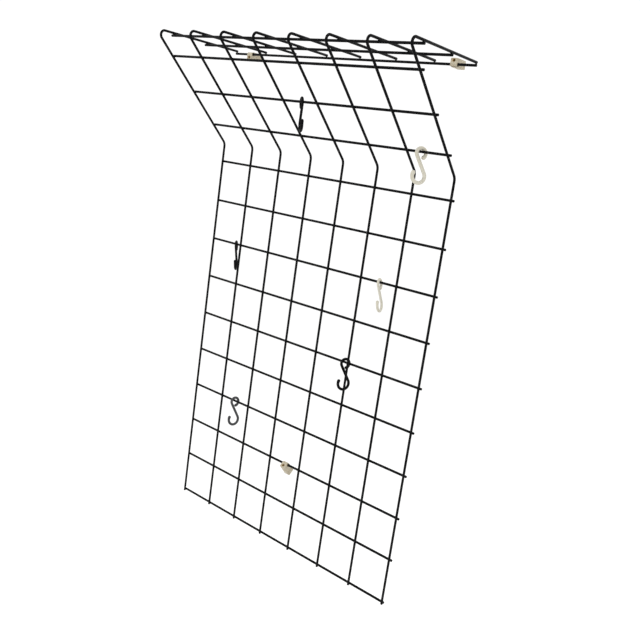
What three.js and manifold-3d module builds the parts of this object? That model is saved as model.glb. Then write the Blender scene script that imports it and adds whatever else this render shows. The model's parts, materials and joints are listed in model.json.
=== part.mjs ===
// A wire-grid wall rack with a hat shelf. Eight long wires run up the wall part, lean out into the
// room and fold sharply back to the wall as a shelf. Sixteen cross wires are welded to their inner
// side. Three plastic clips carry the wires off the wall, and six S-hooks hang on the cross wires.
// Millimetres, +Z up. The wall is the plane Y = 0 and the room is at -Y. The origin lies on the wall
// face of the left clip, level with the shelf's back wire.

import * as THREE from 'three';
import { mergeVertices } from 'three/addons/utils/BufferGeometryUtils.js';
import Module from 'manifold-3d';

const wasm = await Module();
wasm.setup();

const radians = THREE.MathUtils.degToRad;
const clearance = 0.3; // left between any two pieces that touch

// Grid
const wireDiameter = 5; // steel wire with its plastic coat
const longWires = 8;
const crossWires = 16;
const firstCellWidth = 89.5; // the leftmost column is a little wider
const cellWidth = 85.5; // every other column
const bottomCellHeight = 94; // the lowest row is a little taller
const cellHeight = 90; // every other row, measured along the long wires
const crossOverhang = 2; // how far a cross wire passes the outer long wires

// Bends of the long wires
const bendHeight = 855; // from the bottom wire up to the corner where the wires start to lean out
const leanAngle = 47; // of the leaning part, from upright
const shelfSlope = 0; // degrees that the shelf drops towards the wall
const bendRadius = 16;
const foldRadius = 9;

// Wall clips
const clipWidth = 14;
const clipDepth = 32;
const lipThickness = 2; // plastic over the wire at the front and the top
const mouthWidth = 4; // slot through which the wire snaps into the clip
const screwHoleDiameter = 4.6;
const screwBelowWire = 6.5; // axis of the screw hole to axis of the wire
const clipFloor = 2.1; // plastic under the screw hole
const clipCorner = 1.2;
const hangingClipTurn = 48; // how far the loose bottom clip has swung down on its wire

// S-hooks
const upperCurl = 9.2; // radius of the rod's centre line round the grid wire
const lowerCurl = 12.4;
const curlSpacing = 41.4; // between the centres of the two curls
const lowerEndAngle = -205; // where it stops on the lower curl
const dropGrowth = 1; // the coat thickens by this much to a drop at each end

// Each hook: cross wire and long wire counted from 0 at the bottom and left, how far it hangs to the
// right of that long wire, its turn about the upright, its sideways lean, the diameter of its coated
// rod, where the rod starts on the upper curl (degrees from its +X side), and its finish.
const hooks = [
  ['lean_centre', { row: 11, column: 3, offset: 41, turn: 142, lean: 6, rod: 5.2, start: -73 }, 'black'],
  ['lean_right', { row: 10, column: 6, offset: 24.5, turn: 58, lean: 8, rod: 7, start: -52 }, 'cream'],
  ['upper_left', { row: 7, column: 1, offset: -20.5, turn: 127, lean: 8, rod: 5.2, start: -73 }, 'black'],
  ['upper_right', { row: 7, column: 5, offset: 41, turn: 104, lean: 12, rod: 5.2, start: -73 }, 'cream'],
  ['middle', { row: 5, column: 5, offset: -12.6, turn: 66, lean: 9, rod: 5.8, start: -73 }, 'black'],
  ['lower_left', { row: 3, column: 1, offset: 34.5, turn: 78, lean: 9, rod: 5.8, start: -73 }, 'grey'],
];

// Facets
const wireSides = 10;
const hookSides = 10;
const tipSides = 12;
const arcStep = 14; // degrees of turn for each step along a bend

const materials = {
  black: { color: 0x0b0b0c, roughness: 0.38, metalness: 0.0 },
  grey: { color: 0x3a3b3d, roughness: 0.45, metalness: 0.0 },
  cream: { color: 0xd9d2bd, roughness: 0.42, metalness: 0.0 },
  clip: { color: 0xcfc3a0, roughness: 0.5, metalness: 0.0 },
};

// Values that follow from the driving dimensions
const wireRadius = wireDiameter / 2;
const layerStep = wireDiameter + clearance; // centre to centre, long wire to cross wire
const channelRadius = wireRadius + clearance;
const wireInset = channelRadius + lipThickness; // axis of the wire from the clip's front and top
const clipHeight = wireInset + screwBelowWire + screwHoleDiameter / 2 + clipFloor;
const crossLayerY = -(clipDepth - wireInset); // axis of a cross wire on the wall part
const longLayerY = crossLayerY - layerStep;
const gridWidth = firstCellWidth + (longWires - 2) * cellWidth;
const gridLength = bottomCellHeight + (crossWires - 2) * cellHeight;

function longWireX(index) {
  const fromLeft = index === 0 ? 0 : firstCellWidth + (index - 1) * cellWidth;
  return fromLeft - gridWidth / 2;
}

function crossWireDistance(index) {
  return index === 0 ? 0 : bottomCellHeight + (index - 1) * cellHeight;
}

// A rod's centre line as stations of { point, tangent }, made of straight runs and arcs in one plane.
// The direction angle is measured in that plane from its first axis towards its second.
class RodLine {
  constructor(first, second, direction) {
    this.first = first;
    this.second = second;
    this.direction = direction;
    this.place = new THREE.Vector2(0, 0);
    this.stations = [];
    this.mark();
  }

  mark() {
    const at = (x, y) => this.first.clone().multiplyScalar(x).addScaledVector(this.second, y);
    const point = at(this.place.x, this.place.y);
    const tangent = at(Math.cos(this.direction), Math.sin(this.direction));
    this.stations.push({ point, tangent });
  }

  run(length) {
    this.place.x += length * Math.cos(this.direction);
    this.place.y += length * Math.sin(this.direction);
    this.mark();
    return this;
  }

  // Turns by the given signed angle on an arc of the given radius.
  turn(angle, radius) {
    const steps = Math.max(2, Math.ceil(Math.abs(angle) / radians(arcStep)));
    const side = Math.sign(angle) * radius;
    const start = this.direction;
    const centre = new THREE.Vector2(
      this.place.x - side * Math.sin(start),
      this.place.y + side * Math.cos(start)
    );
    for (let step = 1; step <= steps; step += 1) {
      this.direction = start + (angle * step) / steps;
      this.place.x = centre.x + side * Math.sin(this.direction);
      this.place.y = centre.y - side * Math.cos(this.direction);
      this.mark();
    }
    return this;
  }
}

// Lets ExtrudeGeometry put its rings exactly on the stations of a rod line.
class StationCurve extends THREE.Curve {
  constructor(stations) {
    super();
    this.stations = stations;
  }

  blend(t, key, target) {
    const place = t * (this.stations.length - 1);
    const lower = Math.min(Math.floor(place), this.stations.length - 2);
    return target.lerpVectors(this.stations[lower][key], this.stations[lower + 1][key], place - lower);
  }

  getPoint(t, target = new THREE.Vector3()) {
    return this.blend(t, 'point', target);
  }

  getTangent(t, target = new THREE.Vector3()) {
    return this.blend(t, 'tangent', target).normalize();
  }

  getUtoTmapping(u) {
    return u;
  }
}

function sweptRod(stations, radius, sides) {
  const section = new THREE.Shape();
  for (let side = 0; side < sides; side += 1) {
    const angle = ((side + 0.5) / sides) * 2 * Math.PI;
    const [x, y] = [radius * Math.cos(angle), radius * Math.sin(angle)];
    if (side === 0) section.moveTo(x, y);
    else section.lineTo(x, y);
  }
  return new THREE.ExtrudeGeometry(section, {
    steps: stations.length - 1,
    bevelEnabled: false,
    extrudePath: new StationCurve(stations),
  });
}

function toSolid(geometry) {
  const bare = geometry.index ? geometry.toNonIndexed() : geometry.clone();
  bare.deleteAttribute('normal');
  bare.deleteAttribute('uv');
  const merged = mergeVertices(bare, 1e-4);
  return new wasm.Manifold(new wasm.Mesh({
    numProp: 3,
    vertProperties: new Float32Array(merged.attributes.position.array),
    triVerts: new Uint32Array(merged.index.array),
  }));
}

function toGeometry(solid) {
  const mesh = solid.getMesh();
  const geometry = new THREE.BufferGeometry();
  geometry.setAttribute('position', new THREE.BufferAttribute(new Float32Array(mesh.vertProperties), 3));
  geometry.setIndex(new THREE.BufferAttribute(new Uint32Array(mesh.triVerts), 1));
  geometry.computeVertexNormals();
  return geometry;
}

function piece(name, geometry, finish) {
  const mesh = new THREE.Mesh(geometry, new THREE.MeshStandardMaterial(materials[finish]));
  mesh.name = name;
  return mesh;
}

// How the long wires run. The wall part goes straight up, the wires lean out by leanAngle, and the
// fold turns them back over to the shelf. The three straight runs between the corners use up the
// grid's whole length, and the shelf's back cross wire lands in the same plane as the wall part's.
const lean = radians(leanAngle);
const slope = radians(shelfSlope);
const foldTurn = lean + Math.PI / 2 + slope;
const bendCut = bendRadius * Math.tan(lean / 2);
const foldCut = foldRadius * Math.tan(foldTurn / 2);
const spareLength = 2 * bendCut - bendRadius * lean + 2 * foldCut - foldRadius * foldTurn;
const leanAndShelf = gridLength + spareLength - bendHeight;
const leanLength = (leanAndShelf * Math.cos(slope) - layerStep * (1 + Math.sin(slope)))
  / (Math.sin(lean) + Math.cos(slope));
const shelfLength = leanAndShelf - leanLength;

// The sheet of long wires at X = 0, from a little below the bottom cross wire to past the last one.
// First axis +Z, second axis -Y, so leaning out into the room is a positive turn.
function longWireLine() {
  const line = new RodLine(new THREE.Vector3(0, 0, 1), new THREE.Vector3(0, -1, 0), 0);
  line.run(wireRadius + bendHeight - bendCut);
  line.turn(lean, bendRadius);
  line.run(leanLength - bendCut - foldCut);
  line.turn(-foldTurn, foldRadius);
  line.run(shelfLength - foldCut + wireRadius);
  for (const station of line.stations) {
    station.point.y += longLayerY;
    station.point.z -= wireRadius;
  }
  return line.stations;
}

// The axis of a cross wire: the point of the sheet at its distance, moved to the sheet's inner side.
function crossWireAxis(index) {
  const stations = longWireLine();
  let left = crossWireDistance(index) + wireRadius;
  let from = stations[0];
  let to = stations[1];
  for (let next = 1; next < stations.length; next += 1) {
    [from, to] = [stations[next - 1], stations[next]];
    const length = from.point.distanceTo(to.point);
    if (left <= length || next === stations.length - 1) break;
    left -= length;
  }
  const share = left / from.point.distanceTo(to.point);
  const point = new THREE.Vector3().lerpVectors(from.point, to.point, share);
  const tangent = new THREE.Vector3().lerpVectors(from.tangent, to.tangent, share).normalize();
  const inward = new THREE.Vector3(0, tangent.z, -tangent.y);
  return point.addScaledVector(inward, layerStep);
}

function longWire(index) {
  const geometry = sweptRod(longWireLine(), wireRadius, wireSides);
  const mesh = piece(`long_wire_${index + 1}`, geometry, 'black');
  mesh.position.x = longWireX(index);
  return mesh;
}

function crossWire(index) {
  const flush = index === 0 || index === crossWires - 1;
  const length = gridWidth + wireDiameter + (flush ? 0 : 2 * crossOverhang);
  const geometry = new THREE.CylinderGeometry(wireRadius, wireRadius, length, wireSides + 2);
  geometry.rotateZ(Math.PI / 2);
  const mesh = piece(`cross_wire_${index + 1}`, geometry, 'black');
  mesh.position.copy(crossWireAxis(index));
  return mesh;
}

// Side outline of a clip about the wire's axis: X is the depth towards the wall, Y is up. The wire lies
// in a round channel behind the lip, and a narrower mouth opens the channel upwards.
function clipOutline() {
  const [front, back] = [-wireInset, clipDepth - wireInset];
  const [top, bottom] = [wireInset, wireInset - clipHeight];
  const mouthAngle = Math.asin(mouthWidth / 2 / channelRadius);
  const shape = new THREE.Shape();
  shape.moveTo(-mouthWidth / 2, top);
  shape.absarc(0, 0, wireInset, Math.PI / 2 + Math.asin(mouthWidth / 2 / wireInset), Math.PI, false);
  shape.lineTo(front, bottom + clipCorner);
  shape.absarc(front + clipCorner, bottom + clipCorner, clipCorner, Math.PI, 1.5 * Math.PI, false);
  shape.lineTo(back, bottom);
  shape.lineTo(back, top);
  shape.lineTo(mouthWidth / 2, top);
  shape.absarc(0, 0, channelRadius, Math.PI / 2 - mouthAngle, -1.5 * Math.PI + mouthAngle, true);
  return shape;
}

function clipGeometry() {
  const block = new THREE.ExtrudeGeometry(clipOutline(), {
    depth: clipWidth,
    steps: 1,
    bevelEnabled: false,
    curveSegments: 8,
  });
  block.translate(0, 0, -clipWidth / 2);
  block.applyMatrix4(new THREE.Matrix4().makeBasis(
    new THREE.Vector3(0, 1, 0),
    new THREE.Vector3(0, 0, 1),
    new THREE.Vector3(1, 0, 0)
  ));
  const drill = new THREE.CylinderGeometry(screwHoleDiameter / 2, screwHoleDiameter / 2, 3 * clipDepth, 16);
  drill.translate(0, 0, -screwBelowWire);
  return toGeometry(toSolid(block).subtract(toSolid(drill)));
}

// The two upper clips sit in the middle of the outer columns on the shelf's back wire, the right one
// upside down. The bottom clip is loose on the third cross wire, in the middle column.
function wallClip(name, row, column, turnAboutDepth, turnAboutWire) {
  const mesh = piece(name, clipGeometry(), 'clip');
  mesh.position.copy(crossWireAxis(row));
  mesh.position.x = (longWireX(column) + longWireX(column + 1)) / 2;
  mesh.rotation.set(turnAboutWire, turnAboutDepth, 0);
  return mesh;
}

// A hook's centre line about the centre of its upper curl, in a plane with X across and Z up. It starts
// inside the upper curl, goes over the top and down to the other side round the lower curl.
function hookLine(startAngle) {
  const across = Math.asin((upperCurl + lowerCurl) / curlSpacing);
  const start = radians(startAngle);
  const line = new RodLine(new THREE.Vector3(1, 0, 0), new THREE.Vector3(0, 0, 1), start + Math.PI / 2);
  line.turn(Math.PI + across - start, upperCurl);
  line.run(curlSpacing * Math.cos(across));
  line.turn(radians(lowerEndAngle) - across, lowerCurl);
  for (const station of line.stations) {
    station.point.x += upperCurl * Math.cos(start);
    station.point.z += upperCurl * Math.sin(start);
  }
  return line.stations;
}

// A hook's solid: its rod, with a drop at each end.
function hookSolid(stations, rod) {
  let solid = toSolid(sweptRod(stations, rod / 2, hookSides));
  for (const end of [stations[0], stations[stations.length - 1]]) {
    const tip = new THREE.SphereGeometry((rod + dropGrowth) / 2, tipSides, tipSides / 2 + 2);
    tip.translate(end.point.x, end.point.y, end.point.z);
    solid = solid.add(toSolid(tip));
  }
  return solid;
}

// Centre of mass of a closed mesh. Each triangle makes a pyramid with the origin, whose own centre is
// a quarter of the sum of the triangle's corners.
function centreOfMass(geometry) {
  const { position } = geometry.attributes;
  const corner = (place) => new THREE.Vector3().fromBufferAttribute(position, geometry.index.getX(place));
  const sum = new THREE.Vector3();
  let total = 0;
  for (let first = 0; first < geometry.index.count; first += 3) {
    const [a, b, c] = [corner(first), corner(first + 1), corner(first + 2)];
    const volume = a.dot(b.clone().cross(c));
    sum.addScaledVector(a.add(b).add(c), volume / 4);
    total += volume;
  }
  return sum.divideScalar(total);
}

// Turns a hook about the axis of its wire until it balances, faces it, leans it, and then raises it
// from the wire's axis until the upper curl just clears the wire.
function hangHook(stations, rod, facing, leaning) {
  const seat = upperCurl - rod / 2 - clearance - wireRadius;
  const balance = centreOfMass(toGeometry(hookSolid(stations, rod)));
  const settle = Math.atan2(balance.x, seat - balance.z);
  const turn = new THREE.Matrix4().makeRotationY(settle)
    .premultiply(new THREE.Matrix4().makeRotationZ(facing))
    .premultiply(new THREE.Matrix4().makeRotationY(-leaning));
  for (const { point, tangent } of stations) {
    point.z -= seat;
    point.applyMatrix4(turn);
    tangent.transformDirection(turn);
  }
  const riseStep = 0.02;
  for (let rise = 0; !clearsWire(stations, rod) && rise < upperCurl; rise += riseStep) {
    for (const { point } of stations) point.z += riseStep;
  }
  return stations;
}

// Whether a rod with this centre line clears the wire, whose axis is the X axis.
function clearsWire(stations, rod) {
  const nearest = Math.min(...stations.map(({ point }) => Math.hypot(point.y, point.z)));
  return nearest >= wireRadius + rod / 2 + clearance;
}

// Hangs a hook at its turn. One that is too askew for its upper curl to pass the wire is turned squarer
// to the wire, a degree at a time, until it does.
function settledHook(start, rod, turn, leaning) {
  const square = 90;
  let angle = turn;
  let stations = hangHook(hookLine(start), rod, radians(angle), radians(leaning));
  while (!clearsWire(stations, rod) && angle !== square) {
    angle += Math.sign(square - angle);
    stations = hangHook(hookLine(start), rod, radians(angle), radians(leaning));
  }
  return stations;
}

function hook(name, { row, column, offset, turn, lean: leaning, rod, start }, finish) {
  const stations = settledHook(start, rod, turn, leaning);
  const mesh = piece(`s_hook_${name}`, toGeometry(hookSolid(stations, rod)), finish);
  mesh.position.copy(crossWireAxis(row));
  mesh.position.x = longWireX(column) + offset;
  return mesh;
}

const rack = new THREE.Group();
for (let index = 0; index < longWires; index += 1) rack.add(longWire(index));
for (let index = 0; index < crossWires; index += 1) rack.add(crossWire(index));

const backWire = crossWires - 1;
const leftClip = wallClip('wall_clip_left', backWire, 0, 0, 0);
rack.add(leftClip);
rack.add(wallClip('wall_clip_right', backWire, longWires - 2, Math.PI, 0));
rack.add(wallClip('wall_clip_bottom', 2, 3, 0, -radians(hangingClipTurn)));

for (const [name, place, finish] of hooks) rack.add(hook(name, place, finish));

rack.position.set(-leftClip.position.x, 0, -leftClip.position.z);

const part = new THREE.Group();
part.add(rack);

export default part;
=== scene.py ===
import json
import math

import bpy
import numpy as np
from mathutils import Matrix, Vector


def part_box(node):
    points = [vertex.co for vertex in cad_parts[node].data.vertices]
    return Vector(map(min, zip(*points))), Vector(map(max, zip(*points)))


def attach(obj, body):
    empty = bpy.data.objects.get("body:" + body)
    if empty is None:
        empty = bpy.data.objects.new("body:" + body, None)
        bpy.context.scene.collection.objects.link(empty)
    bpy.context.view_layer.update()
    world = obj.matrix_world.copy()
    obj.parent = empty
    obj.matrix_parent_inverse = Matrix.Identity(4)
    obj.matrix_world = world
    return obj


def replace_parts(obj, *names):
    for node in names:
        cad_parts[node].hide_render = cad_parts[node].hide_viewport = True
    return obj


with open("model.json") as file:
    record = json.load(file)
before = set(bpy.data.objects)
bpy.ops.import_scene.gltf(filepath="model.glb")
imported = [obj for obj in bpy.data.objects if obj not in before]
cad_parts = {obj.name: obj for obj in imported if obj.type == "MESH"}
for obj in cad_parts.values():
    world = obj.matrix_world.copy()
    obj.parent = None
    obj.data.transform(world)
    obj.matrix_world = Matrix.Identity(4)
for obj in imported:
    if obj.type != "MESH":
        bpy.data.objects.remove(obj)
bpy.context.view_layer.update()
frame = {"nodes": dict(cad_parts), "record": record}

# A grid rack of coated wire for a wall, with a hat shelf, three plastic clips and six S-hooks.
# Metres, +Z up, the wall at Y = 0 and the room at -Y, as in the frame.
millimetre = 0.001
nodes = frame["nodes"]
bodyOf = {node: body for body, members in frame["record"]["behaviour"]["bodies"].items() for node in members}
slotOf = {part["node"]: part["material_slot"] for part in frame["record"]["subparts"]}


def boxCentre(node):
    low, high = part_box(node)
    return np.array((low + high) / 2)


def unit(vector):
    return vector / np.linalg.norm(vector)


# All points of a mesh as one array with a row for each.
def meshPlaces(mesh):
    places = np.empty(len(mesh.vertices) * 3, np.float32)
    mesh.vertices.foreach_get("co", places)
    return places.reshape(-1, 3)


cameraSettings = {
    "place": (1.2022, -1.2015, -0.1930),
    "aim": (0.3531, -0.0300, -0.4529),
    "roll": 8.53,  # degrees, the camera is held askew
    "lens": 40.70,
    "shift": (-0.0406, -0.0469),
    "sees": (0.02, 60),  # nearest and farthest
}


def makeCamera(settings):
    data = bpy.data.cameras.new("camera")
    camera = bpy.data.objects.new("camera", data)
    bpy.context.scene.collection.objects.link(camera)
    place, aim = Vector(settings["place"]), Vector(settings["aim"])
    look = (aim - place).to_track_quat("-Z", "Y").to_matrix().to_4x4()
    roll = Matrix.Rotation(math.radians(settings["roll"]), 4, "Z")
    camera.matrix_world = Matrix.Translation(place) @ look @ roll
    data.lens = settings["lens"]
    data.shift_x, data.shift_y = settings["shift"]
    data.clip_start, data.clip_end = settings["sees"]
    bpy.context.scene.camera = camera


stageSettings = {
    "floorHeight": -1.95,  # the rack hangs on a wall, its lower edge about 0.9 m up
    "floorSize": 16.0,
    "floorCells": 4,
    "floorRoughness": 0.9,
    "floorColour": (0.965, 0.965, 0.96, 1),
    "worldColour": (1.0, 1.0, 1.0, 1),
    "worldStrength": 1.06,
    "lights": {  # name: place, aim, size, watts, colour
        "keyLight": ((-1.6, -2.4, 1.9), (0.25, -0.1, -0.4), 2.2, 34, (1.0, 0.985, 0.96)),
        "fillLight": ((2.6, -1.8, 0.4), (0.25, -0.1, -0.5), 2.6, 14, (0.96, 0.98, 1.0)),
        "rimLight": ((0.9, 1.9, 1.6), (0.25, -0.1, -0.4), 1.8, 12, (1.0, 1.0, 1.0)),
    },
}


def makeStage(settings):
    world = bpy.data.worlds.new("studio")
    bpy.context.scene.world = world
    world.use_nodes = True
    background = world.node_tree.nodes["Background"]
    background.inputs["Color"].default_value = settings["worldColour"]
    background.inputs["Strength"].default_value = settings["worldStrength"]

    half = settings["floorSize"] / 2
    side = np.linspace(-half, half, settings["floorCells"] + 1)
    x, y = np.meshgrid(side, side)
    corners = np.column_stack([x.ravel(), y.ravel(), np.full(x.size, settings["floorHeight"])])
    floor = meshObject("floor", corners, gridFaces(side.size, side.size, False))
    pale = plainMaterial("paleFloor", settings["floorColour"], settings["floorRoughness"])
    floor.data.materials.append(pale)

    for name, (place, aim, size, watts, colour) in settings["lights"].items():
        data = bpy.data.lights.new(name, "AREA")
        data.shape, data.size, data.energy, data.color = "DISK", size, watts, colour
        light = bpy.data.objects.new(name, data)
        bpy.context.scene.collection.objects.link(light)
        towards = (Vector(aim) - Vector(place)).to_track_quat("-Z", "Y").to_matrix().to_4x4()
        light.matrix_world = Matrix.Translation(place) @ towards


# Quads of a grid of rows x columns points. A closed grid joins the last column to the first.
def gridFaces(rows, columns, closed):
    row = np.arange(rows - 1)[:, None]
    column = np.arange(columns if closed else columns - 1)[None, :]
    after = (column + 1) % columns
    here, there = row * columns, (row + 1) * columns
    quads = np.stack([here + column, here + after, there + after, there + column], axis=-1)
    return quads.reshape(-1, 4)


# A smooth mesh from points and groups of faces, each group an array with one row for each face.
def meshObject(name, points, *faceGroups):
    groups = [np.atleast_2d(group) for group in faceGroups]
    loops = np.concatenate([group.ravel() for group in groups])
    sizes = np.concatenate([np.full(len(group), group.shape[1]) for group in groups])
    mesh = bpy.data.meshes.new(name)
    mesh.vertices.add(len(points))
    mesh.vertices.foreach_set("co", np.asarray(points, np.float32).ravel())
    mesh.loops.add(len(loops))
    mesh.loops.foreach_set("vertex_index", loops.astype(np.int32))
    mesh.polygons.add(len(sizes))
    mesh.polygons.foreach_set("loop_start", (np.cumsum(sizes) - sizes).astype(np.int32))
    mesh.update(calc_edges=True)
    mesh.validate()
    mesh.shade_smooth()
    obj = bpy.data.objects.new(name, mesh)
    bpy.context.scene.collection.objects.link(obj)
    return obj


# A route in one plane, made of straight runs and arcs. Heading is measured from the first axis towards
# the second. An arc of radius r turning by a: the point is its centre plus r (sin heading, -cos heading).
def bentRoute(start, first, second, heading, moves, stepDegrees):
    place, places, headings = np.zeros(2), [np.zeros((1, 2))], [np.array([heading])]
    for kind, amount, radius in moves:
        if kind == "run":
            along = np.array([[math.cos(heading), math.sin(heading)]]) * amount
            places.append(place + along)
            headings.append(np.array([heading]))
        else:
            turn = math.radians(amount)
            steps = max(3, math.ceil(abs(amount) / stepDegrees))
            side = math.copysign(radius, turn)
            angles = heading + turn * np.arange(1, steps + 1) / steps
            centre = place + side * np.array([-math.sin(heading), math.cos(heading)])
            places.append(centre + side * np.column_stack([np.sin(angles), -np.cos(angles)]))
            headings.append(angles)
            heading = angles[-1]
        place = places[-1][-1]
    places, headings = np.vstack(places), np.concatenate(headings)
    axes = np.array([first, second])
    tangents = np.column_stack([np.cos(headings), np.sin(headings)]) @ axes
    return np.array(start) + places @ axes, tangents


# A round rod along a route: each point's ring is point + r (cos a sideways + sin a (tangent x sideways)).
# Both ends close in a dome, a quarter of an ellipse whose height is domeHeight, and a pole.
def sweptRod(points, tangents, sideways, radii, domeHeight, sides, domeRings=5):
    radii = np.broadcast_to(radii, len(points))
    rise = np.linspace(0, math.pi / 2, domeRings + 1)[1:-1]
    startPoints = points[0] - tangents[0] * (domeHeight * np.sin(rise[::-1]))[:, None]
    endPoints = points[-1] + tangents[-1] * (domeHeight * np.sin(rise))[:, None]
    allPoints = np.vstack([startPoints, points, endPoints])
    allTangents = np.vstack([
        np.repeat(tangents[:1], len(rise), 0), tangents, np.repeat(tangents[-1:], len(rise), 0),
    ])
    allRadii = np.concatenate([radii[0] * np.cos(rise[::-1]), radii, radii[-1] * np.cos(rise)])
    across = np.cross(allTangents, sideways)
    angle = np.arange(sides) / sides * 2 * math.pi
    rings = (
        allPoints[:, None, :]
        + allRadii[:, None, None] * np.cos(angle)[None, :, None] * np.asarray(sideways)[None, None, :]
        + allRadii[:, None, None] * np.sin(angle)[None, :, None] * across[:, None, :]
    )
    count = len(allPoints)
    poles = np.array([points[0] - tangents[0] * domeHeight, points[-1] + tangents[-1] * domeHeight])
    vertices = np.vstack([rings.reshape(-1, 3), poles])
    here = np.arange(sides)
    after = (here + 1) % sides
    last = (count - 1) * sides
    startFan = np.column_stack([np.full(sides, count * sides), after, here])
    endFan = np.column_stack([np.full(sides, count * sides + 1), last + here, last + after])
    return vertices, gridFaces(count, sides, True), np.vstack([startFan, endFan])


# Gives a piece the material it is handed, and the body of the CAD node that it belongs with.
def addPiece(obj, material, node):
    obj.data.materials.clear()
    obj.data.materials.append(material)
    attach(obj, bodyOf[node])
    return obj


def plainMaterial(name, colour, roughness):
    material = bpy.data.materials.new(name)
    material.use_nodes = True
    shader = material.node_tree.nodes["Principled BSDF"]
    shader.inputs["Base Color"].default_value = colour
    shader.inputs["Roughness"].default_value = roughness
    return material


# Short ways to add nodes to one material.
class NodeKit:
    def __init__(self, name):
        self.material = bpy.data.materials.new(name)
        self.material.use_nodes = True
        self.nodes = self.material.node_tree.nodes
        self.links = self.material.node_tree.links
        self.shader = self.nodes["Principled BSDF"]
        self.place = self.nodes.new("ShaderNodeTexCoord").outputs["Object"]

    def link(self, value, socket):
        if isinstance(value, bpy.types.NodeSocket):
            self.links.new(value, socket)
        else:
            socket.default_value = value

    def noise(self, scale, detail=3.0, roughness=0.5, stretch=(1, 1, 1)):
        mapping = self.nodes.new("ShaderNodeMapping")
        mapping.inputs["Scale"].default_value = stretch
        self.links.new(self.place, mapping.inputs["Vector"])
        node = self.nodes.new("ShaderNodeTexNoise")
        node.inputs["Scale"].default_value = scale
        node.inputs["Detail"].default_value = detail
        node.inputs["Roughness"].default_value = roughness
        self.links.new(mapping.outputs["Vector"], node.inputs["Vector"])
        return node.outputs["Fac"]

    def remap(self, value, low, high, toLow=0.0, toHigh=1.0):
        node = self.nodes.new("ShaderNodeMapRange")
        node.interpolation_type = "SMOOTHSTEP"
        for key, number in zip(("From Min", "From Max", "To Min", "To Max"), (low, high, toLow, toHigh)):
            node.inputs[key].default_value = number
        self.link(value, node.inputs["Value"])
        return node.outputs["Result"]

    # Noise that starts and is full where its range says.
    def clouds(self, texture, toLow=0.0, toHigh=1.0):
        noise, limits = texture
        return self.remap(self.noise(*noise), *limits, toLow, toHigh)

    def math(self, operation, first, second):
        node = self.nodes.new("ShaderNodeMath")
        node.operation = operation
        self.link(first, node.inputs[0])
        self.link(second, node.inputs[1])
        return node.outputs["Value"]

    def mix(self, share, first, second):
        node = self.nodes.new("ShaderNodeMix")
        node.data_type = "RGBA"
        sockets = {socket.identifier: socket for socket in node.inputs}
        self.link(share, sockets["Factor_Float"])
        self.link(first, sockets["A_Color"])
        self.link(second, sockets["B_Color"])
        return next(socket for socket in node.outputs if socket.identifier == "Result_Color")

    def attribute(self, name):
        node = self.nodes.new("ShaderNodeAttribute")
        node.attribute_name = name
        return node.outputs["Fac"]

    def facing(self, axis):
        geometry = self.nodes.new("ShaderNodeNewGeometry")
        split = self.nodes.new("ShaderNodeSeparateXYZ")
        self.links.new(geometry.outputs["Normal"], split.inputs["Vector"])
        return split.outputs[axis]

    def edges(self, low, high):
        geometry = self.nodes.new("ShaderNodeNewGeometry")
        return self.remap(geometry.outputs["Pointiness"], low, high)

    # Joins one or two heights into the shader's normal, each with its own depth in metres.
    def bump(self, *layers):
        normal = None
        for height, strength, distance in layers:
            node = self.nodes.new("ShaderNodeBump")
            node.inputs["Strength"].default_value = strength
            node.inputs["Distance"].default_value = distance
            self.link(height, node.inputs["Height"])
            if normal is not None:
                self.links.new(normal, node.inputs["Normal"])
            normal = node.outputs["Normal"]
        self.links.new(normal, self.shader.inputs["Normal"])


coatSettings = {  # colour, tint of the worn or dirty places, dust on top, roughness low and high
    "black_coat": {
        "colour": (0.0022, 0.0024, 0.0029, 1), "patch": (0.0036, 0.0037, 0.0042, 1),
        "scuff": (0.020, 0.019, 0.018, 1), "scuffShare": 0.18,
        "dust": (0.030, 0.029, 0.026, 1), "dustShare": 0.12,
        "roughness": (0.38, 0.52), "specular": 0.05, "peel": 0.18,
    },
    "grey_coat": {
        "colour": (0.040, 0.041, 0.044, 1), "patch": (0.050, 0.051, 0.054, 1),
        "scuff": (0.10, 0.10, 0.10, 1), "scuffShare": 0.35,
        "dust": (0.12, 0.115, 0.105, 1), "dustShare": 0.15,
        "roughness": (0.38, 0.52), "specular": 0.20, "peel": 0.22,
    },
    "cream_coat": {
        "colour": (0.535, 0.510, 0.430, 1), "patch": (0.490, 0.460, 0.370, 1),
        "scuff": (0.27, 0.23, 0.16, 1), "scuffShare": 0.35,
        "dust": (0.36, 0.33, 0.27, 1), "dustShare": 0.10,
        "roughness": (0.34, 0.50), "specular": 0.35, "peel": 0.25,
    },
}


coatTexture = {  # noise: scale, detail, roughness and stretch; range: where it starts and is full
    "patches": ((26, 4, 0.55), (0.38, 0.64)),
    "scuffs": ((240, 6, 0.72, (1, 1, 0.35)), (0.60, 0.74)),
    "grains": ((900, 3, 0.6), (0.42, 0.62)),
    "gloss": ((60, 4, 0.6), (0.35, 0.66)),
    "peel": (420, 2, 0.5),
    "upward": (0.35, 0.95),  # how far a place has to face up for dust to lie on it
    "scuffDulls": 0.18,
    "dustDulls": 0.5,
    "peelDepth": 0.12 * millimetre,
    "scuffDepth": 0.04 * millimetre,
    "scuffBump": 0.25,
}


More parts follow.
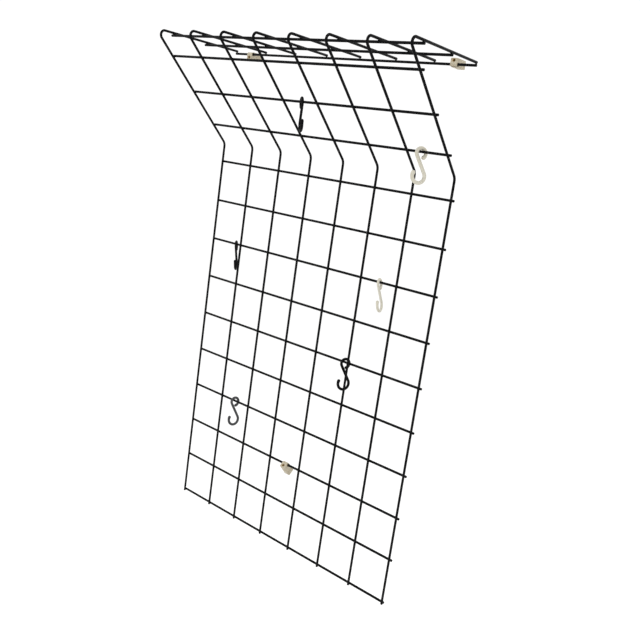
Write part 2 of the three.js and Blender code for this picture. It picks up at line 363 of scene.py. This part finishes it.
# A dipped plastic coat: broad uneven patches, fine scuffs, a little dust on what faces up, and the
# slight orange peel of a coat that has flowed.
def coatMaterial(name, settings, texture):
    kit = NodeKit(name)
    colour = kit.mix(kit.clouds(texture["patches"]), settings["colour"], settings["patch"])
    scuffs = kit.clouds(texture["scuffs"], 0, settings["scuffShare"])
    colour = kit.mix(scuffs, colour, settings["scuff"])
    upward = kit.remap(kit.facing("Z"), *texture["upward"], 0, settings["dustShare"])
    dust = kit.math("MULTIPLY", upward, kit.clouds(texture["grains"]))
    colour = kit.mix(dust, colour, settings["dust"])
    kit.link(colour, kit.shader.inputs["Base Color"])
    gloss = kit.clouds(texture["gloss"], *settings["roughness"])
    dull = kit.math("ADD", gloss, kit.math("MULTIPLY", scuffs, texture["scuffDulls"]))
    dull = kit.math("ADD", dull, kit.math("MULTIPLY", dust, texture["dustDulls"]))
    kit.link(dull, kit.shader.inputs["Roughness"])
    kit.shader.inputs["Specular IOR Level"].default_value = settings["specular"]
    kit.bump(
        (kit.noise(*texture["peel"]), settings["peel"], texture["peelDepth"]),
        (scuffs, texture["scuffBump"], texture["scuffDepth"]),
    )
    return kit.material


clipPlasticSettings = {
    # The third colour here is painted shade for the hollows, darker and more amber.
    "colour": (0.375, 0.320, 0.225, 1), "pale": (0.430, 0.385, 0.280, 1), "hollowShade": (0.27, 0.18, 0.075, 1),
    # The last colour here is the painted shadow inside the screw hole, a dark brown.
    "grime": (0.16, 0.11, 0.055, 1), "bore": (0.30, 0.185, 0.060, 1),
    "roughness": (0.42, 0.60), "subsurface": 0.10, "subsurfaceRadius": (0.004, 0.003, 0.0018),
    "clouds": ((130, 4, 0.55), (0.36, 0.66)),
    "spots": ((700, 5, 0.7), (0.64, 0.78)),
    "gloss": ((220, 4, 0.6), (0.35, 0.66)),
    "hollow": (0.50, 0.44),  # from flat to hollow
    # How much of the painted hollow shade is mixed in.
    "hollowShadeShare": 0.75,
    "spotShare": 0.35,
    "grain": ((1500, 2, 0.5), 0.20, 0.06 * millimetre),  # noise, strength and depth
    "sinks": ((160, 2, 0.5), 0.15, 0.2 * millimetre),
}


# Old cream plastic: cloudy, with painted shade in the hollows, darker and more amber, grime in small spots
# and a fine grain.
# The screw hole has the darkest painted shade, a brown shadow. An attribute of the clips' own says where
# that is.
def clipMaterial(name, settings):
    kit = NodeKit(name)
    colour = kit.mix(kit.clouds(settings["clouds"]), settings["colour"], settings["pale"])
    # Painted shade: the hollows, found by their pointiness, turn darker and more amber.
    hollow = kit.math("MULTIPLY", kit.edges(*settings["hollow"]), settings["hollowShadeShare"])
    colour = kit.mix(hollow, colour, settings["hollowShade"])
    colour = kit.mix(kit.clouds(settings["spots"], 0, settings["spotShare"]), colour, settings["grime"])
    # Painted shadow: the screw hole and a rim just past it turn dark brown.
    colour = kit.mix(kit.attribute("bore"), colour, settings["bore"])
    kit.link(colour, kit.shader.inputs["Base Color"])
    kit.link(kit.clouds(settings["gloss"], *settings["roughness"]), kit.shader.inputs["Roughness"])
    kit.shader.inputs["Subsurface Weight"].default_value = settings["subsurface"]
    kit.shader.inputs["Subsurface Radius"].default_value = settings["subsurfaceRadius"]
    kit.bump(*((kit.noise(*noise), *depth) for noise, *depth in (settings["grain"], settings["sinks"])))
    return kit.material


wireSettings = {
    "diameter": 5 * millimetre,
    "bendRadius": 16 * millimetre,  # where the wires lean out
    "foldRadius": 9 * millimetre,  # where they turn back over to the shelf
    "lastWallWire": 9,  # cross wires from the bottom: 0 to 9 on the wall part,
    "lastLeanWire": 12,  # 10 to 12 on the leaning part, 13 to 15 on the shelf
    "sides": 24,
    "stepDegrees": 3.5,
    "domeHeight": 1.3 * millimetre,
}


# Where two straight lines in the YZ plane meet, each given by a point and a direction.
def meeting(pointA, alongA, pointB, alongB):
    share = np.linalg.solve(np.column_stack([alongA, -alongB]), pointB - pointA)[0]
    return pointA + share * alongA


# The nodes whose names start this way, in the order of the number at their ends.
def numbered(start):
    found = (node for node in nodes if node.startswith(start))
    return sorted(found, key=lambda node: int(node.split("_")[-1]))


# The middle of each cross wire in Y and Z, and from those the three straight parts of the long wires:
# each is a line through its cross wires, moved outward by the step between the two layers.
def readGrid(settings):
    crossNames, longNames = numbered("cross_wire"), numbered("long_wire")
    cross = np.array([boxCentre(name) for name in crossNames])[:, 1:]
    longX = np.array([boxCentre(name)[0] for name in longNames])
    radius = settings["diameter"] / 2
    wall, lean = settings["lastWallWire"], settings["lastLeanWire"]
    longPlaces = meshPlaces(nodes[longNames[0]].data)
    lowEnd = longPlaces[:, 2] < cross[wall // 2, 1]
    step = cross[0, 0] - longPlaces[lowEnd, 1].mean(dtype=float)
    parts = []
    for first, last in ((0, wall), (wall + 1, lean), (lean + 1, len(cross) - 1)):
        along = unit(cross[last] - cross[first])
        inward = np.array([along[1], -along[0]])
        parts.append((cross[first] - inward * step, along, inward))
    bend = meeting(*parts[0][:2], *parts[1][:2])
    fold = meeting(*parts[1][:2], *parts[2][:2])
    lower = cross[0] - parts[0][2] * step - parts[0][1] * radius
    upper = cross[-1] - parts[2][2] * step + parts[2][1] * radius
    return {
        "crossNames": crossNames, "longNames": longNames, "cross": cross, "longX": longX,
        "step": step, "parts": parts, "corners": (lower, bend, fold, upper),
        "partOf": np.searchsorted([wall, lean], np.arange(len(cross))),
    }


# A long wire: straight runs between the corners, with each corner an arc that takes
# radius x tan(turn / 2) off both runs. It ends one wire radius past its first and last cross wires.
def longWireRoute(grid, settings):
    lower, bend, fold, upper = grid["corners"]
    headings = [math.degrees(math.atan2(-along[0], along[1])) for _, along, _ in grid["parts"]]
    turns = [headings[1] - headings[0], (headings[2] - headings[1] + 180) % 360 - 180]
    bendCut = settings["bendRadius"] * math.tan(math.radians(abs(turns[0])) / 2)
    foldCut = settings["foldRadius"] * math.tan(math.radians(abs(turns[1])) / 2)
    dome = settings["domeHeight"]
    moves = [
        ("run", np.linalg.norm(bend - lower) - bendCut - dome, 0),
        ("turn", turns[0], settings["bendRadius"]),
        ("run", np.linalg.norm(fold - bend) - bendCut - foldCut, 0),
        ("turn", turns[1], settings["foldRadius"]),
        ("run", np.linalg.norm(upper - fold) - foldCut - dome, 0),
    ]
    start = np.array([0, *(lower + grid["parts"][0][1] * dome)])
    return bentRoute(start, (0, 0, 1), (0, -1, 0), math.radians(headings[0]), moves, settings["stepDegrees"])


def makeWires(grid, settings, material):
    radius = settings["diameter"] / 2
    sideways = np.array([1.0, 0, 0])
    points, tangents = longWireRoute(grid, settings)
    for name, x in zip(grid["longNames"], grid["longX"]):
        shape = sweptRod(
            points + sideways * x, tangents, sideways, radius, settings["domeHeight"], settings["sides"],
        )
        wire = meshObject(name.replace("long_wire_", "longWire"), *shape)
        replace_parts(addPiece(wire, material, name), name)
    for name in grid["crossNames"]:
        low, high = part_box(name)
        centre = boxCentre(name)
        ends = np.array([low.x + settings["domeHeight"], high.x - settings["domeHeight"]])
        points = np.column_stack([ends, np.full((2, 2), centre[1:])])
        shape = sweptRod(
            points, np.repeat(sideways[None], 2, 0), np.array([0, 1.0, 0]), radius,
            settings["domeHeight"], settings["sides"],
        )
        wire = meshObject(name.replace("cross_wire_", "crossWire"), *shape)
        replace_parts(addPiece(wire, material, name), name)


weldSettings = {
    "footRadius": 2.1 * millimetre,  # where the fillet runs out on each wire
    "waist": 0.30,  # how much narrower its middle is
    "sink": 0.25 * millimetre,  # its ends lie this deep in the wires
    "sides": 12,
    "rings": 5,
}


# A weld: the coat's fillet between the two wires of a crossing. Its foot at angle a lies on the long
# wire at height sqrt(R2 - (r cos a)2) and on the cross wire at step - sqrt(R2 - (r sin a)2), and its
# radius narrows to a waist with 1 - waist sin(pi s) from foot to foot.
def makeWelds(grid, settings, material):
    radius = wireSettings["diameter"] / 2
    angle = np.arange(settings["sides"]) / settings["sides"] * 2 * math.pi
    share = np.linspace(0, 1, settings["rings"])[:, None]
    reach = settings["footRadius"] * (1 - settings["waist"] * np.sin(math.pi * share))
    across, along = reach * np.cos(angle), -reach * np.sin(angle)
    foot = settings["footRadius"]
    lowest = np.sqrt(radius ** 2 - (foot * np.cos(angle)) ** 2) - settings["sink"]
    highest = grid["step"] - np.sqrt(radius ** 2 - (foot * np.sin(angle)) ** 2) + settings["sink"]
    height = lowest * (1 - share) + highest * share
    local = np.stack([across, along, height], axis=-1).reshape(-1, 3)
    local = np.vstack([local, [[0, 0, lowest.min()], [0, 0, highest.max()]]])
    here = np.arange(settings["sides"])
    after = (here + 1) % settings["sides"]
    last = (settings["rings"] - 1) * settings["sides"]
    lowCap = np.column_stack([np.full(here.size, len(local) - 2), after, here])
    highCap = np.column_stack([np.full(here.size, len(local) - 1), last + here, last + after])
    quads = gridFaces(settings["rings"], settings["sides"], True)
    allPoints, allQuads, allTriangles = [], [], []
    for centre, part in zip(grid["cross"], grid["partOf"]):
        _, direction, inward = grid["parts"][part]
        start = centre - inward * grid["step"]
        for x in grid["longX"]:
            offset = len(allPoints) * len(local)
            placed = np.column_stack([
                x + local[:, 0],
                start + local[:, 1:2] * direction + local[:, 2:3] * inward,
            ])
            allPoints.append(placed)
            allQuads.append(quads + offset)
            allTriangles.append(np.vstack([lowCap, highCap]) + offset)
    welds = meshObject("weldFillets", np.vstack(allPoints), np.vstack(allQuads), np.vstack(allTriangles))
    addPiece(welds, material, grid["crossNames"][0])


hookSettings = {
    "upperCurl": 9.2 * millimetre,  # radius of the rod's middle line
    "lowerCurl": 12.4 * millimetre,
    "spacing": 41.4 * millimetre,  # between the middles of the curls
    "lowerEnd": -205,  # where it stops on the lower curl
    "dropGrowth": 1 * millimetre,  # the coat is this much thicker at both ends
    "dropReach": 3.6 * millimetre,
    "sides": 28,
    "domeRings": 8,
    "stepDegrees": 4,
    # turn about the upright, sideways lean, rod's diameter in mm, where it starts on the upper curl
    "hang": {
        "s_hook_lean_centre": (142, 6, 5.2, -73),
        "s_hook_lean_right": (58, 8, 7.0, -52),
        "s_hook_upper_left": (127, 8, 5.2, -73),
        "s_hook_upper_right": (104, 12, 5.2, -73),
        "s_hook_middle": (66, 9, 5.8, -73),
        "s_hook_lower_left": (78, 9, 5.8, -73),
    },
}


# A hook's rod in its own plane, X across and Z up, about the middle of the upper curl.
def hookRoute(settings, startDegrees):
    upper, lower, spacing = settings["upperCurl"], settings["lowerCurl"], settings["spacing"]
    across = math.asin((upper + lower) / spacing)
    start = math.radians(startDegrees)
    moves = [
        ("turn", math.degrees(math.pi + across - start), upper),
        ("run", spacing * math.cos(across), 0),
        ("turn", settings["lowerEnd"] - math.degrees(across), lower),
    ]
    first = (upper * math.cos(start), 0, upper * math.sin(start))
    return bentRoute(first, (1, 0, 0), (0, 0, 1), start + math.pi / 2, moves, settings["stepDegrees"])


# The rod swells to the drop at each end by exp(-(distance from the end / reach) squared).
def hookRadii(points, settings, rod):
    gaps = np.linalg.norm(np.diff(points, axis=0), axis=1)
    distance = np.concatenate([[0], np.cumsum(gaps)])
    fromEnd = np.minimum(distance, distance[-1] - distance)
    return rod / 2 + settings["dropGrowth"] / 2 * np.exp(-((fromEnd / settings["dropReach"]) ** 2))


# Each hook turns about its wire's axis until it balances, then turns about the upright and leans. Its
# box's middle is the node's, so it hangs where the node does.
def makeHooks(settings, coats):
    for node, (turn, lean, rodMillimetres, startDegrees) in settings["hang"].items():
        rod = rodMillimetres * millimetre
        points, tangents = hookRoute(settings, startDegrees)
        radii = hookRadii(points, settings, rod)
        vertices, quads, triangles = sweptRod(
            points, tangents, np.array([0, 1.0, 0]), radii,
            (rod + settings["dropGrowth"]) / 2, settings["sides"], settings["domeRings"],
        )
        weight = np.concatenate([[0], np.linalg.norm(np.diff(points, axis=0), axis=1)]) * radii ** 2
        balance = (points * weight[:, None]).sum(0) / weight.sum()
        seat = settings["upperCurl"] - rod / 2 - wireSettings["diameter"] / 2
        settle = math.atan2(balance[0], seat - balance[2])
        hang = (
            Matrix.Rotation(math.radians(-lean), 3, "Y")
            @ Matrix.Rotation(math.radians(turn), 3, "Z")
            @ Matrix.Rotation(settle, 3, "Y")
        )
        hung = (vertices - [0, 0, seat]) @ np.array(hang).T
        hung += boxCentre(node) - (hung.min(0) + hung.max(0)) / 2
        name = "sHook" + "".join(word.capitalize() for word in node.split("_")[2:])
        hook = meshObject(name, hung, quads, triangles)
        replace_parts(addPiece(hook, coats[slotOf[node]], node), node)


clipSettings = {
    "width": 14 * millimetre,
    "depth": 32 * millimetre,
    "lip": 2 * millimetre,  # plastic over the wire at the front and the top
    "lipRounding": 0.5 * millimetre,
    "channel": 2.8 * millimetre,  # radius of the round channel that holds the wire
    "mouth": 4 * millimetre,
    "holeRadius": 2.3 * millimetre,
    "holeBelow": 6.5 * millimetre,  # from the wire's axis down to the screw's
    "floor": 2.1 * millimetre,
    "corner": 1.2 * millimetre,
    "backCorner": 0.6 * millimetre,
    "edge": 0.55 * millimetre,  # rounding of the side edges
    "edgeRings": 6,
    "seam": 0.09 * millimetre,  # the moulding line down the middle stands this proud
    "seamFoot": 2.5,  # and reaches this many times as far to each side
    "flare": 1.1 * millimetre,  # rounding at both ends of the screw hole
    "flareRings": 8,
    "boreShadeReach": 0.77 * millimetre,  # how far past the screw hole the painted shadow reaches
    "skin": 0.01 * millimetre,
    "past": 1 * millimetre,  # how far the bar that cuts the hole stands out
    "barSides": 40,
    "frontJoin": 0.6 * millimetre,  # the flat front starts this far under the wire's axis
    "hang": {  # cross wire from the bottom, turn about the depth and about the wire, in degrees
        "wall_clip_left": (15, 0, 0),
        "wall_clip_right": (15, 180, 0),
        "wall_clip_bottom": (2, 0, -48),
    },
}


def arc(centre, radius, fromDegrees, toDegrees, count):
    angle = np.radians(np.linspace(fromDegrees, toDegrees, count))
    return np.column_stack([centre[0] + radius * np.cos(angle), centre[1] + radius * np.sin(angle)])


# Evenly spaced points strictly between two corners.
def between(start, end, count):
    return np.linspace(start, end, count + 2)[1:-1]


# Side outline of a clip about the wire's axis: depth towards the wall, then height. It runs round the
# outside anticlockwise from the mouth's front lip, and back through the round channel. The last number
# of each run is how many points it is given.
def clipOutline(settings):
    inset = settings["channel"] + settings["lip"]
    front, back = -inset, settings["depth"] - inset
    height = inset + settings["holeBelow"] + settings["holeRadius"] + settings["floor"]
    top, bottom = inset, inset - height
    half, corner, behind = settings["mouth"] / 2, settings["corner"], settings["backCorner"]
    lip = settings["lipRounding"]
    lipUp = math.sqrt((inset - lip) ** 2 - (half + lip) ** 2)
    lipAngle = math.degrees(math.atan2(lipUp, -half - lip))
    mouthAngle = math.degrees(math.asin(half / settings["channel"]))
    runs = [
        arc((-half - lip, lipUp), lip, 0, lipAngle, 7)[:-1],
        arc((0, 0), inset, lipAngle, 180, 12),
        between((front, -settings["frontJoin"]), (front, bottom + corner), 9),
        arc((front + corner, bottom + corner), corner, 180, 270, 8),
        between((front + corner, bottom), (back - behind, bottom), 24),
        arc((back - behind, bottom + behind), behind, 270, 360, 5),
        between((back, bottom + behind), (back, top - behind), 11),
        arc((back - behind, top - behind), behind, 0, 90, 5),
        between((back - behind, top), (half + lip, top), 16),
        arc((half + lip, top - lip), lip, 90, 180, 6),
        arc((0, 0), settings["channel"], 90 - mouthAngle, -270 + mouthAngle, 40),
    ]
    return np.vstack(runs)


# The clip's body: its outline carried across the width. Near each side the outline draws in along its
# normals by edge (1 - cos t) as the side is reached by edge (1 - sin t), and one fine ridge runs round
# the middle.
def clipBody(settings):
    outline = clipOutline(settings)
    before, after = np.roll(outline, 1, axis=0), np.roll(outline, -1, axis=0)
    along = after - before
    along /= np.linalg.norm(along, axis=1)[:, None]
    outward = np.column_stack([along[:, 1], -along[:, 0]])
    edge, half = settings["edge"], settings["width"] / 2
    rounding = np.linspace(0, math.pi / 2, settings["edgeRings"])
    sideX = half - edge * (1 - np.sin(rounding))
    sideInset = edge * (1 - np.cos(rounding))
    seam = settings["seam"]
    foot = settings["seamFoot"] * seam
    widths = np.concatenate([-sideX[::-1], [-foot, 0, foot], sideX])
    insets = np.concatenate([sideInset[::-1], [0, 0, 0], sideInset])
    rings = outline[None] - insets[:, None, None] * outward[None]
    middle = len(sideX) + 1
    rings[middle] += seam * np.abs(outward[:, 1:]) * outward  # none on the front and the wall face
    points = np.concatenate([np.broadcast_to(widths[:, None, None], (*rings.shape[:2], 1)), rings], axis=-1)
    rows, columns = points.shape[:2]
    leftCap = np.arange(columns)[::-1]
    rightCap = np.arange(columns) + (rows - 1) * columns
    return points.reshape(-1, 3), gridFaces(rows, columns, True), leftCap, rightCap


# What the screw hole takes away: a round bar along the depth whose radius grows to hole + flare at the
# front and at the wall, by flare (1 - sin t) as the face is neared by flare (1 - cos t).
def screwHole(settings):
    inset = settings["channel"] + settings["lip"]
    front, back = -inset, settings["depth"] - inset
    hole, flare, past = settings["holeRadius"], settings["flare"], settings["past"]
    rounding = np.linspace(0, math.pi / 2, settings["flareRings"])
    nearDepth = front + flare * (1 - np.cos(rounding)) + settings["skin"]
    nearRadius = hole + flare * (1 - np.sin(rounding))
    depths = np.concatenate([[front - past], nearDepth, (front + back) - nearDepth[::-1], [back + past]])
    radii = np.concatenate([[hole + flare], nearRadius, nearRadius[::-1], [hole + flare]])
    points = np.column_stack([np.zeros(len(depths)), depths, np.full(len(depths), -settings["holeBelow"])])
    tangents = np.repeat([[0, 1.0, 0]], len(depths), 0)
    return sweptRod(points, tangents, np.array([1.0, 0, 0]), radii, past / 2, settings["barSides"], 2)


def makeClips(grid, settings, material):
    body = meshObject("clipBody", *clipBody(settings))
    cutter = meshObject("clipHole", *screwHole(settings))
    cut = body.modifiers.new("screwHole", "BOOLEAN")
    cut.operation, cut.solver, cut.object = "DIFFERENCE", "EXACT", cutter
    bpy.context.view_layer.update()
    shape = bpy.data.meshes.new_from_object(body.evaluated_get(bpy.context.evaluated_depsgraph_get()))
    bpy.data.objects.remove(body)
    bpy.data.objects.remove(cutter)
    shape.materials.clear()
    x, _, z = meshPlaces(shape).T
    # The points in and just around the screw hole get the painted shadow.
    inHole = np.hypot(x, z + settings["holeBelow"]) < settings["holeRadius"] + settings["boreShadeReach"]
    shape.attributes.new("bore", "FLOAT", "POINT").data.foreach_set("value", inHole.astype(np.float32))
    for node, (wire, depthTurn, wireTurn) in settings["hang"].items():
        place = Matrix.Translation((boxCentre(node)[0], *grid["cross"][wire]))
        about = Matrix.Rotation(math.radians(wireTurn), 4, "X")
        about = about @ Matrix.Rotation(math.radians(depthTurn), 4, "Y")
        mesh = shape.copy()
        mesh.transform(place @ about)
        mesh.name = "wallClip" + node.split("_")[-1].capitalize()
        clip = bpy.data.objects.new(mesh.name, mesh)
        bpy.context.scene.collection.objects.link(clip)
        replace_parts(addPiece(clip, material, node), node)


makeCamera(cameraSettings)
makeStage(stageSettings)
bpy.context.scene.view_settings.view_transform = "Standard"
print("stage: camera, floor and lights")

coats = {name: coatMaterial(name, settings, coatTexture) for name, settings in coatSettings.items()}
clipPlastic = clipMaterial("clip_plastic", clipPlasticSettings)
print("materials:", ", ".join(coats), "and clip_plastic")

grid = readGrid(wireSettings)
makeWires(grid, wireSettings, coats["black_coat"])
print("wires:", len(grid["longNames"]), "long and", len(grid["crossNames"]), "cross")

makeWelds(grid, weldSettings, coats["black_coat"])
print("welds:", len(grid["longNames"]) * len(grid["crossNames"]))

makeHooks(hookSettings, coats)
print("hooks:", len(hookSettings["hang"]))

makeClips(grid, clipSettings, clipPlastic)
print("clips:", len(clipSettings["hang"]))
